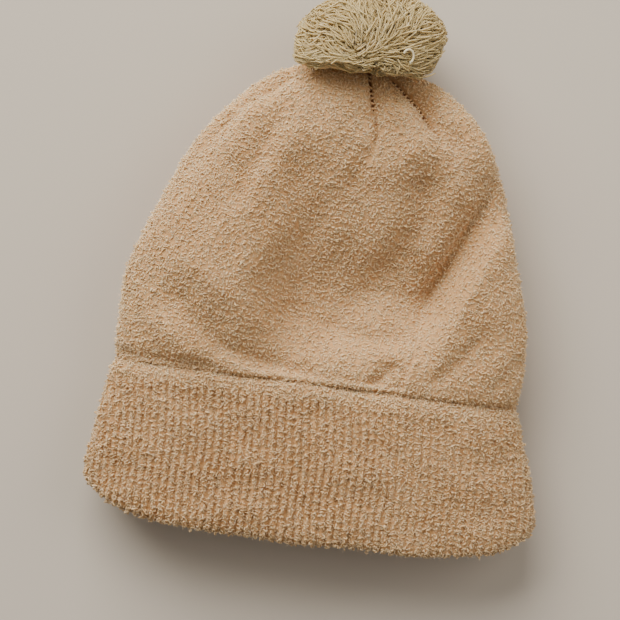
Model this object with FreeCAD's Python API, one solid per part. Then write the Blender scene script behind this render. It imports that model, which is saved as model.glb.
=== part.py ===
import FreeCAD
import Part

import math
import os

# Pom pom beanie, lying flat on its back on a table. Millimetres.
# +X runs across the hat, +Y from the mouth to the pom pom, +Z up off the table.
# The origin is on the table, under the middle of the whole hat.
# Sizes along the hat are given as a "reach": the distance from the mouth's edge.
# The crown and the band round it are shaped by rings of guiding points ("poles")
# laid round the hat, from the mouth up. Sizes below are those of the real outside.

Vector = FreeCAD.Vector
ALONG = Vector(0, 1, 0)
UP = Vector(0, 0, 1)

# ---- driving dimensions ----
HAT_LENGTH = 291.0          # mouth's edge to the far side of the pom pom
MOUTH_Y = -HAT_LENGTH / 2   # where reach is 0
TABLE_BLOCK = (400, 500, -50, 0)    # width, length, bottom and top of what lies under the hat
RING_POINTS = 24            # poles in one ring round the hat
FLATNESS = 0.72             # 1 is a true oval; less lies flatter, with tighter side folds
ROUND_WIDTH = 35.0          # rings narrower than this stay round

CROWN_WALL = 4.5            # one layer of brushed boucle knit
LAYER_GAP = 0.6             # between the crown and the band round it
CUFF_HEIGHT = 83.0
CROWN_EDGE = 14.0           # reach of the crown's own lower edge, inside the band
SEAM_GAP = 1.6              # between that edge and the band's lip, for the linking seam
LIP_TOP = CROWN_EDGE - SEAM_GAP
EDGE_ROUNDING = (-0.8, 1.5, 5, 12)  # rings this far past the crown's edge turn it over
BAND_OUTSIDE = (6, 16, 30, 48, 66, 79)      # reaches of the band's rings, up its outside
BAND_RIM = ((0.8, 84.0), (4.0, 85.2), (8.0, 84.0))      # drawn in by, reach
BAND_INSIDE = (78, 64, 48, 32, 20, CROWN_EDGE + 2.5)    # down its inside, beside the crown
BAND_LIP = ((-0.4, LIP_TOP + 1.2), (0.6, LIP_TOP), (3.6, LIP_TOP), (4.6, LIP_TOP - 1.5),
            (4.6, 6.0), (3.6, 2.4), (-0.5, -0.2))
BAND_MOUTH = ((4.0, -0.2), (-0.4, 1.6))
MOUTH_BOW = 4.0             # the mouth's edge is this much further up at its two sides
CORNER_BOW = 13.0           # and its corners are rounded by this much more
TAPER_REACH = 60.0          # both are gone this far up

# Sections of the crown's outside: reach, middle across, half width, underside, top.
CROWN_STATIONS = [
    (0, 0, 109.5, 7.9, 36.6),
    (40, 0, 106.5, 7.9, 36.6),
    (64, -2, 101.0, 7.9, 36.6),
    (78, -4, 97.0, 7.9, 36.6),
    (88, -4, 97.5, 7.2, 37.0),
    (95, -4, 103.0, 2.0, 39.5),
    (103, -4, 106.0, -1.0, 42.5),
    (115, -4, 106.5, -1.8, 46.5),
    (130, -5, 105.5, -1.8, 49.5),
    (145, -5, 101.0, -1.8, 51.5),
    (160, -4.5, 96.0, -1.6, 52.5),
    (175, -3.5, 91.0, -1.0, 53.0),
    (190, -2.5, 86.0, 0.5, 53.0),
    (204, -2, 80.0, 2.5, 53.0),
    (217, -1, 72.0, 5.5, 53.0),
    (229, 0, 62.5, 9.5, 53.0),
    (239, 0, 52.0, 14.5, 53.0),
    (246, 0, 42.0, 19.5, 52.5),
    (250, 0, 31.0, 24.5, 51.5),
    (252, 0, 19.0, 29.0, 48.5),
    (252.6, 0, 9.5, 32.8, 44.8),
    (252.6, 0, 4.6, 34.3, 43.3),
]
# Sections of the turned up band's outside.
CUFF_STATIONS = [
    (0, 0, 116.5, -1.8, 46.3),
    (18, 0, 119.5, -1.8, 46.3),
    (37, 0, 117.5, -1.8, 46.3),
    (60, -1, 113.0, -1.8, 46.2),
    (84, -4, 107.0, -1.8, 46.0),
]

# The crown's darts: sewn pleats that run down from the closed top. Across and reach.
DARTS = {
    "front_left": [(-16, 249), (-44, 236), (-74, 198)],
    "front_centre": [(4, 250), (8, 236), (12, 205)],
    "front_right": [(13, 250), (29, 235), (50, 206)],
    "back_left": [(-16, 249), (-35, 234), (-56, 204)],
    "back_centre": [(0, 250), (-1, 236), (-3, 205)],
    "back_right": [(15, 249), (42, 236), (72, 200)],
}
DART_POINTS = 9             # along each dart's curve
DART_GROOVE = (2.2, 2.6)    # width and depth
PROUD = 1.0                 # the groove's cutter stands this far out of the knit
DART_THREAD_WIDTH = 1.3
DART_THREAD_DEPTHS = (1.4, 3.4)     # below the knit's surface: it bites into the groove

SEAM_WIDTH = 4.0            # overlocked allowance down the middle of the back
SEAM_DEPTHS = (3.9, 6.2)    # it stands up on the inside of the crown's wall
BACK_SEAM_REACH = (CROWN_EDGE + 3, 236.0)
SEAM_BOTTOM = -20.0         # the seams are trimmed from here up to half the hat's height
CUFF_SEAM_REACH = (3.5, LIP_TOP - 1.5)
CUFF_SEAM_RINGS = (-10, 0, 12, 30)
LINKING_DEPTH = 2.3         # the linking seam's middle, below the crown's surface
LINKING_REACH = (CROWN_EDGE + LIP_TOP) / 2
LINKING_HALF = (1.5, 1.9)   # its half thickness and half length along the hat
LINKING_RINGS = 8           # rings of poles round its section

# The pom pom and the yarn that ties it on.
AXIS_HEIGHT = 38.8          # the tie's line, and the pom pom's middle, above the table
HALF_SPACE = (300, 400)     # larger than the crown
FRONT_HEIGHTS = (AXIS_HEIGHT, 90)
BACK_HEIGHTS = (-20, AXIS_HEIGHT - 6)   # clear of the side folds
PLATE_HEIGHTS = (-60, 200)  # a dart plate's bottom, and how tall it is
GATHER_RADIUS = 8.0
GATHER_THREAD_RADIUS = 0.9
GATHER_REACH = 247.6        # it lies against the inside of the closed top
PIVOT_REACH = 253.4
YARN_RADIUS = 1.1
STRAND_OFFSET = YARN_RADIUS * 0.95  # the two strands are pressed together
KNOT_BITE = 0.6             # the inner tails run this far into their knot
OUTER_TAILS_START = PIVOT_REACH + 1.0
OUTER_KNOT_RADIUS = 2.8
INNER_KNOT_RADIUS = 4.6
INNER_KNOT_REACH = 239.5
RUNNING_GAP = 0.4           # between the pieces that turn on each other
POM_RADIUS = 38.8
POM_DEPTH = 39.0            # along the hat: it is pressed flatter against the crown
POM_REACH = HAT_LENGTH - POM_DEPTH / 2
POM_BASE_REACH = 256.4
CONE = math.radians(64)     # the pom pom keeps inside this cone, so that it can rock
POM_TIP_RADIUS = 1.5        # a small flat at its far side
POM_POINTS = 16             # along half of its outline
BINDING_RADIUS = 5.2
BINDING_LENGTH = 6.0
BINDING_TURNS = 4
BINDING_GAP = 0.2
CHANNEL_RADIUS = 3.0
BINDING_START = POM_REACH - BINDING_LENGTH / 2
POM_BASE_RADIUS = (POM_BASE_REACH - PIVOT_REACH) * math.tan(CONE)


def at(reach):
    return MOUTH_Y + reach


def section_at(stations, reach):
    """The section's middle, half width, underside and top at any reach."""
    reaches = [station[0] for station in stations]
    reach = min(max(reach, reaches[0]), reaches[-1])
    upper = next(i for i in range(1, len(stations)) if reach <= reaches[i])
    low, high = stations[upper - 1], stations[upper]
    share = (reach - low[0]) / max(high[0] - low[0], 1e-9)
    return [low[k] + (high[k] - low[k]) * share for k in range(1, 5)]


def mouth_bow(side, reach):
    """How far up the hat a ring is bent; side is -1 to 1 across the hat."""
    fade = max(0.0, 1 - max(reach, 0) / TAPER_REACH)
    return (MOUTH_BOW * side ** 2 + CORNER_BOW * side ** 8) * fade ** 1.5


def squared(share, sharpness):
    """Widens an oval's cosine or sine, so that its long sides lie flatter."""
    return math.copysign(abs(share) ** sharpness, share)


def ring(section, reach):
    """The poles of one oval ring round the hat."""
    middle, half_width, underside, top = section
    half_height = (top - underside) / 2
    sharpness = 1 - (1 - FLATNESS) * min(1.0, max(half_width - ROUND_WIDTH, 0) / ROUND_WIDTH)
    # A spline runs a little inside its poles, so they are set out by this much.
    swell = 3 / (2 + math.cos(2 * math.pi / RING_POINTS))
    poles = []
    for i in range(RING_POINTS):
        turn = 2 * math.pi * i / RING_POINTS
        side, lift = squared(math.cos(turn), sharpness), squared(math.sin(turn), sharpness)
        across = middle + half_width * swell * side
        height = underside + half_height + half_height * swell * lift
        bow = mouth_bow(side, reach)
        poles.append(Vector(across, at(reach + bow), height))
    return poles


def station_rings(stations):
    return [ring(station[1:], station[0]) for station in stations]


def inset(rings, depth):
    """The same rings, moved square to their own surface, inwards by depth."""
    moved = []
    for i, poles in enumerate(rings):
        below, above = rings[max(i - 1, 0)], rings[min(i + 1, len(rings) - 1)]
        new = []
        for j, pole in enumerate(poles):
            round_hat = poles[(j + 1) % RING_POINTS] - poles[j - 1]
            up_hat = above[j] - below[j]
            outwards = up_hat.cross(round_hat).normalize()
            new.append(pole - outwards * depth)
        moved.append(new)
    return moved


def closed_tube(rings):
    """A solid with a ring-shaped skin: its rings lead out, round and back to the first."""
    poles = [list(column) for column in zip(*rings)]
    round_knots = list(range(RING_POINTS + 1))
    along_knots = list(range(len(rings) + 1))
    skin = Part.BSplineSurface()
    skin.buildFromPolesMultsKnots(
        poles, [1] * len(round_knots), [1] * len(along_knots),
        round_knots, along_knots, True, True, 3, 3)
    solid = Part.makeSolid(Part.makeShell([skin.toShape()]))
    if solid.Volume < 0:
        solid.reverse()
    return solid


def crown_rings():
    """The crown's outside, from its lower edge to the eyelet at its top."""
    edge = [CROWN_EDGE + extra for extra in EDGE_ROUNDING]
    rings = [ring(section_at(CROWN_STATIONS, reach), reach) for reach in edge]
    return rings + station_rings(CROWN_STATIONS[1:])


def crown_layer(shallow, deep):
    """The part of the crown's wall between two depths below its surface."""
    rings = crown_rings()
    return closed_tube(inset(rings, shallow) + inset(rings, deep)[::-1])


def cuff_rings():
    """The turned up band's profile: up its outside, over, down its inside and under."""
    rings = [ring(section_at(CUFF_STATIONS, reach), reach) for reach in BAND_OUTSIDE]
    rings += drawn_rings(section_at(CUFF_STATIONS, CUFF_HEIGHT), BAND_RIM)
    for reach in BAND_INSIDE:
        section = section_at(CROWN_STATIONS, reach)
        rings.append(ring(drawn(section, -LAYER_GAP), reach))
    rings += drawn_rings(section_at(CROWN_STATIONS, LIP_TOP), BAND_LIP)
    rings += drawn_rings(section_at(CUFF_STATIONS, 0), BAND_MOUTH)
    return rings


def drawn(section, inwards):
    middle, half_width, underside, top = section
    return middle, half_width - inwards, underside + inwards, top - inwards


def drawn_rings(section, places):
    """Rings of one section, each drawn in by some amount and set at its own reach."""
    return [ring(drawn(section, inwards), reach) for inwards, reach in places]


def block(width, length, bottom, top):
    """A block that stands across the middle of the hat."""
    return Part.makeBox(width, length, top - bottom, Vector(-width / 2, -length / 2, bottom))


def above_table(shape):
    """Presses the underside flat, where the soft knit lies on the table."""
    return shape.cut(block(*TABLE_BLOCK))


def front_or_back(name):
    """The half space that holds only the front, or only the back, of the crown."""
    heights = FRONT_HEIGHTS if name.startswith("front") else BACK_HEIGHTS
    return block(*HALF_SPACE, *heights)


def dart_plate(name, width):
    """An upright plate along one dart's line."""
    ends = [Vector(x, at(reach), 0) for x, reach in DARTS[name]]
    points = Part.Arc(*ends).toShape().discretize(DART_POINTS)
    left, right = [], []
    for i, point in enumerate(points):
        ahead = points[min(i + 1, len(points) - 1)] - points[max(i - 1, 0)]
        sideways = ahead.cross(UP).normalize() * (width / 2)
        left.append(point + sideways)
        right.append(point - sideways)
    outline = Part.makePolygon(left + right[::-1] + left[:1])
    bottom, height = PLATE_HEIGHTS
    plate = Part.Face(outline).extrude(UP * height).translated(UP * bottom)
    return plate.common(front_or_back(name))


def rod(reach_from, reach_to, radius, across=0.0):
    start = Vector(across, at(reach_from), AXIS_HEIGHT)
    return Part.makeCylinder(radius, reach_to - reach_from, start, ALONG)


def ball(reach, radius):
    return Part.makeSphere(radius, Vector(0, at(reach), AXIS_HEIGHT))


def yarn_ring(reach, radius, yarn_radius):
    return Part.makeTorus(radius, yarn_radius, Vector(0, at(reach), AXIS_HEIGHT), ALONG)


def two_strands(reach_from, reach_to):
    """The doubled tie yarn: two strands side by side."""
    left = rod(reach_from, reach_to, YARN_RADIUS, -STRAND_OFFSET)
    right = rod(reach_from, reach_to, YARN_RADIUS, STRAND_OFFSET)
    return left.fuse(right).removeSplitter()


def make_crown():
    """The knitted crown: open at the mouth, closed at the top but for the tie's eyelet."""
    crown = above_table(crown_layer(0, CROWN_WALL))
    width, depth = DART_GROOVE
    skin = crown_layer(-PROUD, depth)
    grooves = [skin.common(dart_plate(name, width)) for name in DARTS]
    return crown.cut(grooves)


def make_cuff():
    return above_table(closed_tube(cuff_rings()))


def make_brim_linking_thread():
    """The ring of chain stitch that bites into the crown's edge and the band's lip."""
    section = section_at(CROWN_STATIONS, CROWN_EDGE)
    rings = []
    for i in range(LINKING_RINGS):
        turn = 2 * math.pi * i / LINKING_RINGS
        depth = LINKING_DEPTH + LINKING_HALF[0] * math.cos(turn)
        reach = LINKING_REACH + LINKING_HALF[1] * math.sin(turn)
        rings.append(ring(drawn(section, depth), reach))
    return closed_tube(rings)


def back_plate(reaches):
    """The upright plate that a seam down the middle of the back lies in."""
    return Part.makeBox(
        SEAM_WIDTH, reaches[1] - reaches[0], AXIS_HEIGHT,
        Vector(-SEAM_WIDTH / 2, at(reaches[0]), SEAM_BOTTOM))


def make_back_seam():
    return crown_layer(*SEAM_DEPTHS).common(back_plate(BACK_SEAM_REACH))


def make_cuff_seam():
    """The short seam inside the mouth that closes the band into a ring."""
    lip = section_at(CROWN_STATIONS, LIP_TOP)
    shallow = drawn_rings(lip, [(SEAM_DEPTHS[0], reach) for reach in CUFF_SEAM_RINGS])
    deep = drawn_rings(lip, [(SEAM_DEPTHS[1], reach) for reach in CUFF_SEAM_RINGS])
    return closed_tube(shallow + deep[::-1]).common(back_plate(CUFF_SEAM_REACH))


def make_dart_thread(name):
    return crown_layer(*DART_THREAD_DEPTHS).common(dart_plate(name, DART_THREAD_WIDTH))


def make_inner_tails():
    """The tie's two ends, from the knot inside the hat up through the eyelet."""
    return two_strands(
        INNER_KNOT_REACH + INNER_KNOT_RADIUS - KNOT_BITE,
        PIVOT_REACH - OUTER_KNOT_RADIUS - RUNNING_GAP)


def make_outer_tails():
    """The same two strands, from the outer knot up to the pom pom's binding."""
    tails = two_strands(OUTER_TAILS_START, BINDING_START - RUNNING_GAP)
    return tails.cut(ball(PIVOT_REACH, OUTER_KNOT_RADIUS + RUNNING_GAP))


def make_binding():
    """The yarn wound round the middle of the pom pom's strands."""
    pitch = BINDING_LENGTH / BINDING_TURNS
    binding = rod(BINDING_START, BINDING_START + BINDING_LENGTH, BINDING_RADIUS - pitch / 2)
    for i in range(BINDING_TURNS):
        reach = BINDING_START + pitch * (i + 0.5)
        binding = binding.fuse(yarn_ring(reach, BINDING_RADIUS - pitch / 2, pitch / 2))
    return binding


def make_pom():
    """The tuft of cut yarn, hollowed for its binding and for the tie."""
    half_depth = POM_DEPTH / 2
    outline = [(POM_TIP_RADIUS, POM_REACH + half_depth)]
    for i in range(1, POM_POINTS):
        turn = math.pi * i / POM_POINTS
        radius = POM_RADIUS * math.sin(turn)
        reach = POM_REACH + half_depth * math.cos(turn)
        if radius * math.cos(CONE) < (reach - PIVOT_REACH) * math.sin(CONE):
            outline.append((radius, reach))
    skin = Part.BSplineCurve()
    skin.interpolate([beside_tie(*corner) for corner in outline])
    cavity_end = BINDING_START + BINDING_LENGTH + BINDING_GAP
    cavity_radius = BINDING_RADIUS + BINDING_GAP
    corners = [
        outline[-1],
        (POM_BASE_RADIUS, POM_BASE_REACH),
        (CHANNEL_RADIUS, POM_BASE_REACH),
        (CHANNEL_RADIUS, BINDING_START - BINDING_GAP),
        (cavity_radius, BINDING_START - BINDING_GAP),
        (cavity_radius, cavity_end),
        (0, cavity_end),
        (0, outline[0][1]),
        outline[0]]
    edges = Part.makePolygon([beside_tie(*corner) for corner in corners]).Edges
    profile = Part.Face(Part.Wire([skin.toShape()] + edges))
    return profile.revolve(Vector(0, 0, AXIS_HEIGHT), ALONG, 360)


def beside_tie(radius, reach):
    return Vector(radius, at(reach), AXIS_HEIGHT)


def make_all():
    pieces = {
        "crown_knit": make_crown(),
        "cuff_band": make_cuff(),
        "brim_linking_thread": make_brim_linking_thread(),
        "back_seam_thread": make_back_seam(),
        "cuff_seam_thread": make_cuff_seam(),
        "crown_gather_thread": yarn_ring(GATHER_REACH, GATHER_RADIUS, GATHER_THREAD_RADIUS),
        "tie_inner_knot": ball(INNER_KNOT_REACH, INNER_KNOT_RADIUS),
        "tie_inner_tails": make_inner_tails(),
        "tie_outer_knot": ball(PIVOT_REACH, OUTER_KNOT_RADIUS),
        "tie_outer_tails": make_outer_tails(),
        "pom_binding": make_binding(),
        "pom_yarns": make_pom(),
    }
    for name in DARTS:
        pieces["dart_thread_" + name] = make_dart_thread(name)
    return pieces


def main():
    os.makedirs("parts", exist_ok=True)
    for name, shape in make_all().items():
        shape.exportStep(os.path.join("parts", name + ".step"))
        print(name, len(shape.Solids), "solids", round(shape.Volume), "mm3", shape.isValid())


main()
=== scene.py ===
import math

import bpy
import numpy as np
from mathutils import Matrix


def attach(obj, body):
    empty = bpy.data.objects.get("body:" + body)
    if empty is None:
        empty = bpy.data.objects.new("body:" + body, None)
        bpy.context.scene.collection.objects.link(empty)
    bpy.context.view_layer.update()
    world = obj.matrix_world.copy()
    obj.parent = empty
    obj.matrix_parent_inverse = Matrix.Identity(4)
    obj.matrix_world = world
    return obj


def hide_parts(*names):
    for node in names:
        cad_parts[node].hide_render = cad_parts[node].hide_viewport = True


# A pom pom beanie lying on its back. Sizes here are in millimetres until a mesh is made.
# A "reach" is a distance up the hat from its mouth's edge; Y is the reach less half the hat's
# length. A row is an oval section of the hat; a column is a place round it, counted from the
# middle of the front.

MM = 0.001
HALF_LENGTH = 145.5
SEED = 11

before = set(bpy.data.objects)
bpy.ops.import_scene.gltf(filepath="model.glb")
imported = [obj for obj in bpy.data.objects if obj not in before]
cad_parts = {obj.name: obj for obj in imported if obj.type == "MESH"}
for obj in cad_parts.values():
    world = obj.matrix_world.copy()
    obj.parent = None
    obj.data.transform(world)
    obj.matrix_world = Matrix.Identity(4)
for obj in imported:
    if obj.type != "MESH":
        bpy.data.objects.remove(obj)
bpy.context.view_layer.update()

# ---------------------------------------------------------------- the hat's main shapes
FLATNESS = 0.72             # how flat the long sides of the ovals lie: 1 is a true oval
ROUND_WIDTH = 35.0
CROWN_WALL = 4.5
PILE_HEIGHT = 1.0           # the boucle stands this far proud of its ground cloth
TABLE_CLEARANCE = 0.15
GROUND_CLEARANCE = 0.6      # the ground cloth stays this far up, so that some pile lies under it
CROWN_COLUMNS = 660
BAND_COLUMNS = 1320
ROW_SPACING = 1.0           # between the crown's rows
BAND_ROW_SPACING = 0.8
CROWN_SPAN_STEPS = 12       # rows worked out between two stations, before they are evened out
BAND_SPAN_STEPS = 14

# Sections of the crown's outside: reach, middle across, half width, underside, top.
CROWN_STATIONS = [
    (14, 0, 108.5, 7.9, 36.6),
    (40, 0, 106.5, 7.9, 36.6),
    (64, -2, 101.0, 7.9, 36.6),
    (78, -4, 97.0, 7.9, 36.6),
    (80.8, -4, 97.6, 7.7, 36.9),
    (82.0, -4, 98.4, 7.2, 37.6),
    (82.9, -4, 101.4, 4.8, 41.2),
    (83.7, -4, 104.4, 2.6, 44.9),
    (85.6, -4, 106.5, 1.1, 47.0),
    (94, -4, 107.5, 0.4, 47.6),
    (102, -4, 107.8, 0.1, 47.8),
    (115, -4, 107.5, 0.0, 48.8),
    (130, -5, 106.5, 0.0, 50.0),
    (145, -5, 102.0, 0.0, 51.5),
    (160, -4.5, 97.0, 0.0, 52.5),
    (175, -3.5, 92.0, 0.0, 52.8),
    (190, -2.5, 87.0, 0.8, 52.6),
    (204, -2, 81.0, 2.5, 52.2),
    (217, -1, 73.0, 5.5, 51.4),
    (229, 0, 63.5, 9.5, 50.4),
    (239, 0, 53.0, 14.5, 49.4),
    (246, 0, 43.0, 19.5, 48.6),
    (250, 0, 32.0, 24.5, 47.9),
    (252.6, 0, 20.0, 29.0, 46.6),
    (253.4, 0, 9.5, 32.8, 44.8),
    (253.0, 0, 4.6, 34.3, 43.3),
]
# The band's profile, from inside the mouth, round the fold, up the outside and over the rim.
# reach, middle, half width, underside, top
CUFF_STATIONS = [
    (13.5, 0, 105.0, 11.5, 33.0),
    (9, 0, 104.0, 12.3, 32.2),
    (5, 0, 105.0, 11.6, 32.9),
    (1.8, 0, 108.0, 8.6, 36.0),
    (0.3, 0, 112.0, 4.2, 40.4),
    (1.2, 0, 116.0, 1.2, 43.9),
    (4, 0, 118.3, 0.2, 45.7),
    (9, 0, 119.3, 0.0, 46.3),
    (18, 0, 119.5, 0.0, 46.4),
    (37, 0, 117.5, 0.0, 46.4),
    (60, -1, 113.0, 0.0, 46.2),
    (70, -3, 110.3, 0.0, 46.0),
    (75, -3.5, 109.2, 0.0, 46.6),
    (79.5, -4, 108.3, 0.1, 46.5),
    (83.2, -4, 106.8, 1.3, 44.9),
    (85.5, -4, 104.4, 3.6, 42.2),
    (85.2, -4, 102.0, 5.6, 40.0),
    (83.0, -4, 100.2, 6.8, 38.6),
    (78.0, -4, 98.6, 7.3, 37.6),
    (70.0, -3, 100.6, 7.3, 37.4),
]
MOUTH_BOW = 4.0
CORNER_BOW = 13.0
TAPER_REACH = 60.0
RIB_PITCH = 4.2
WALE_PITCH = 2.1            # the crown's stitches, round the hat and up it
COURSE_PITCH = 2.52


def squared(share, sharpness):
    return np.sign(share) * np.abs(share) ** sharpness


def smooth_rows(stations, per_span):
    """Runs a cubic B-spline along the stations' numbers."""
    s = np.array(stations, float)
    s = np.vstack([2 * s[0] - s[1], s, 2 * s[-1] - s[-2]])
    out = []
    for i in range(len(s) - 3):
        for t in np.arange(per_span) / per_span:
            weights = [(1 - t) ** 3, 3 * t ** 3 - 6 * t ** 2 + 4,
                       -3 * t ** 3 + 3 * t ** 2 + 3 * t + 1, t ** 3]
            out.append(sum(w * p for w, p in zip(weights, s[i:i + 4])) / 6)
    out.append(s[-2])
    return np.array(out)


def even_rows(rows, spacing):
    """The same run of sections at an even spacing along the middle of the front."""
    step = np.hypot(np.diff(rows[:, 0]), np.diff(rows[:, 4]))
    along = np.concatenate([[0], np.cumsum(step)])
    count = int(along[-1] / spacing) + 1
    even = np.linspace(0, along[-1], count)
    return np.stack([np.interp(even, along, rows[:, k]) for k in range(5)], 1)


def oval_points(rows, columns):
    """Points (row, column, xyz) evenly spaced round each section, and each row's girth."""
    turn = np.linspace(0, 2 * np.pi, 1081)
    points = np.zeros((len(rows), columns, 3))
    girths = np.zeros(len(rows))
    even = np.arange(columns) / columns
    for i, (reach, middle, half_width, underside, top) in enumerate(rows):
        narrow = min(1.0, max(half_width - ROUND_WIDTH, 0) / ROUND_WIDTH)
        sharpness = 1 - (1 - FLATNESS) * narrow
        side = squared(np.sin(turn), sharpness)
        half_height = (top - underside) / 2
        x = middle + half_width * side
        z = underside + half_height * (1 + squared(np.cos(turn), sharpness))
        fade = max(0.0, 1 - max(reach, 0) / TAPER_REACH) ** 1.5
        y = reach - HALF_LENGTH + (MOUTH_BOW * side ** 2 + CORNER_BOW * side ** 8) * fade
        length = np.concatenate([[0], np.cumsum(np.hypot(np.diff(x), np.diff(z)))])
        girths[i] = length[-1]
        for k, values in enumerate((x, y, z)):
            points[i, :, k] = np.interp(even * length[-1], length, values)
    return points, girths


def normals_of(points):
    """Outward unit normals of a table of points that closes round its columns."""
    around = np.roll(points, -1, 1) - np.roll(points, 1, 1)
    along = np.gradient(points, axis=0)
    n = np.cross(around, along)
    return n / np.maximum(np.linalg.norm(n, axis=2, keepdims=True), 1e-9)


# ---------------------------------------------------------------- folds and dents
def distance_to(path, x, reach):
    """Distance to a bent line (above 0 on its left, walking along it) and the share walked."""
    path = np.array(path, float)
    lengths = np.hypot(*np.diff(path, axis=0).T)
    total = lengths.sum()
    best = np.full(x.shape, 1e9)
    side = np.ones(x.shape)
    share = np.zeros(x.shape)
    before = 0.0
    for (ax, ar), (bx, br), length in zip(path[:-1], path[1:], lengths):
        t = ((x - ax) * (bx - ax) + (reach - ar) * (br - ar)) / length ** 2
        t = np.clip(t, 0, 1)
        d = np.hypot(x - ax - t * (bx - ax), reach - ar - t * (br - ar))
        nearer = d < best
        left = np.sign((bx - ax) * (reach - ar) - (br - ar) * (x - ax))
        best = np.where(nearer, d, best)
        side = np.where(nearer, left, side)
        share = np.where(nearer, (before + t * length) / total, share)
        before += length
    return best * side, share


def ease(t):
    """0 below 0, 1 above 1, and smooth between."""
    t = np.clip(t, 0, 1)
    return t * t * (3 - 2 * t)


def crease(x, reach, path, width, height, open_end=False):
    """A ridge (or, with a height below 0, a valley) along a bent line, fading at its ends."""
    d, share = distance_to(path, x, reach)
    fade = ease((1 - share) * 3) if open_end else ease(share * 4) * ease((1 - share) * 4)
    return height * fade * np.exp(-(d / width) ** 2)


def step(x, reach, path, width, drop, spread):
    """A slope along a bent line: the cloth is higher on the line's right than on its left."""
    d, share = distance_to(path, x, reach)
    fade = ease(share * 4) * ease((1 - share) * 4)
    return -drop / 2 * fade * np.tanh(d / width) * np.exp(-(d / spread) ** 2)


def mound(x, reach, centre, size, height):
    return height * np.exp(-((x - centre[0]) / size[0]) ** 2 - ((reach - centre[1]) / size[1]) ** 2)


# The front's darts, each from the top down: across and reach.
FRONT_DARTS = {
    "front_left": [(-14, 252), (-36, 243), (-58, 225), (-72, 208), (-86, 184)],
    "front_centre": [(3, 252), (4, 243), (8, 228), (11, 218), (10, 207), (7, 200)],
    "front_right": [(8, 252), (19, 244), (31, 234), (41, 222), (48, 211)],
}
# Each front dart: depth of its groove, depth and width of the dip round it.
DART_DEPTHS = {
    "front_left": (0.6, 2.6, 4.6),
    "front_centre": (2.6, 1.6, 4.5),
    "front_right": (2.6, 3.6, 4.6),
}
# The share of each dart, from the top, where its stitches show between the pile.
STITCHES_SHOWN = {"front_left": 0.0, "front_centre": 0.46, "front_right": 0.7}
BACK_STITCHES_SHOWN = 0.7
GROOVE_WIDTH = 1.4
BACK_GROOVE = (2.0, 2.6)    # width and depth, and the same for the dip round it
BACK_DIP = (5.5, 1.4)
BACK_DARTS = {
    "back_left": [(-16, 250), (-35, 234), (-56, 204)],
    "back_centre": [(0, 250), (-1, 236), (-3, 205)],
    "back_right": [(15, 250), (42, 236), (72, 200)],
}


HOLLOW_EDGE = [(96, 222), (80, 198), (71, 176), (64, 158), (56, 138), (47, 108)]    # the long fold
HOLLOW_TOP = 214            # the reach where the front starts to sink
HOLLOW_SLOPE = 80           # how far down the hat it goes on sinking
HOLLOW_FLOOR = 130          # the reach where it starts to rise again towards the band
HOLLOW_DEPTH = 21.0
HOLLOW_RISE = 0.87          # how much of its depth it loses by the band


def hollow(x, reach):
    """The front sinks in a long slope towards the band, and comes up steeply past the long fold."""
    past_fold = distance_to(HOLLOW_EDGE, x, reach)[0]
    slope = np.clip((HOLLOW_TOP - reach) / HOLLOW_SLOPE, 0, 1)
    rise = 1 - HOLLOW_RISE * ease((HOLLOW_FLOOR - reach + 0.22 * x) / 46)
    sides = ease((x + 50) / 34) * (1 - ease((past_fold + 4) / 17))
    return -HOLLOW_DEPTH * slope ** 1.1 * rise * sides


# Low swellings of the front: place, size and height.
FRONT_MOUNDS = [
    ((-66, 134), (32, 44), 5.0),
    ((90, 128), (20, 44), 3.0),
    ((-14, 224), (15, 24), 1.5),
    ((-15, 127), (7, 8), 2.2),
    ((3, 98), (11, 8), 1.8),
    ((28, 103), (10, 7), 1.6),
    ((90, 100), (16, 12), 1.5),
]
# The slopes that go down into the hollow: line, width, drop and spread.
FRONT_STEPS = [
    ([(-31, 212), (-34, 190), (-30, 170), (-22, 150), (-14, 128)], 5, 3.2, 16),
    ([(44, 210), (34, 194), (31, 174), (24, 156), (8, 138)], 8, 7.0, 22),
    ([(64, 196), (48, 200), (30, 199), (8, 191), (-14, 182)], 7, 2.8, 16),
]
# Ridges and valleys: line, width and height.
FRONT_CREASES = [
    # the long fold down the right, and the ridges beside it
    ([(86, 204), (78, 192), (70, 174), (63, 158), (54, 138), (42, 104)], 6.5, -5.4),
    ([(64, 206), (55, 186), (50, 168), (42, 148)], 8, 3.4),
    ([(92, 184), (80, 162), (68, 140), (56, 118), (42, 100)], 9, 1.3),
    # the folds above the band
    ([(-100, 130), (-80, 119), (-66, 109), (-54, 100), (-38, 94), (-8, 89)], 7, -2.0),
    ([(-70, 106), (-54, 97), (-36, 92), (-14, 89), (4, 90)], 5, -2.6),
    ([(-100, 112), (-80, 100), (-58, 91)], 7, 2.4),
    ([(-96, 146), (-70, 136), (-44, 118), (-20, 104)], 8, 1.8),
    ([(-12, 120), (6, 111), (28, 109), (48, 116)], 5, -2.4),
    ([(82, 128), (72, 112), (62, 98), (50, 87)], 4, -1.7),
    ([(102, 116), (92, 100), (82, 88)], 4, -1.0),
    ([(38, 102), (30, 93), (22, 83)], 4, -3.0),
    # the pleats that run down from the gathered top
    ([(-34, 236), (-44, 210), (-52, 188), (-57, 164)], 4.5, -1.8),
    ([(-26, 236), (-32, 212), (-36, 196)], 7, 1.4),
    ([(-50, 236), (-60, 214), (-70, 190)], 7, 1.8),
    ([(22, 236), (29, 218), (32, 202)], 7, 2.4),
    ([(54, 238), (66, 216), (75, 198)], 8, 3.0),
    ([(10, 212), (5, 198), (-2, 184)], 4.5, -1.6),
    ([(28, 242), (42, 227), (60, 210)], 5, -2.2),
]
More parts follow.
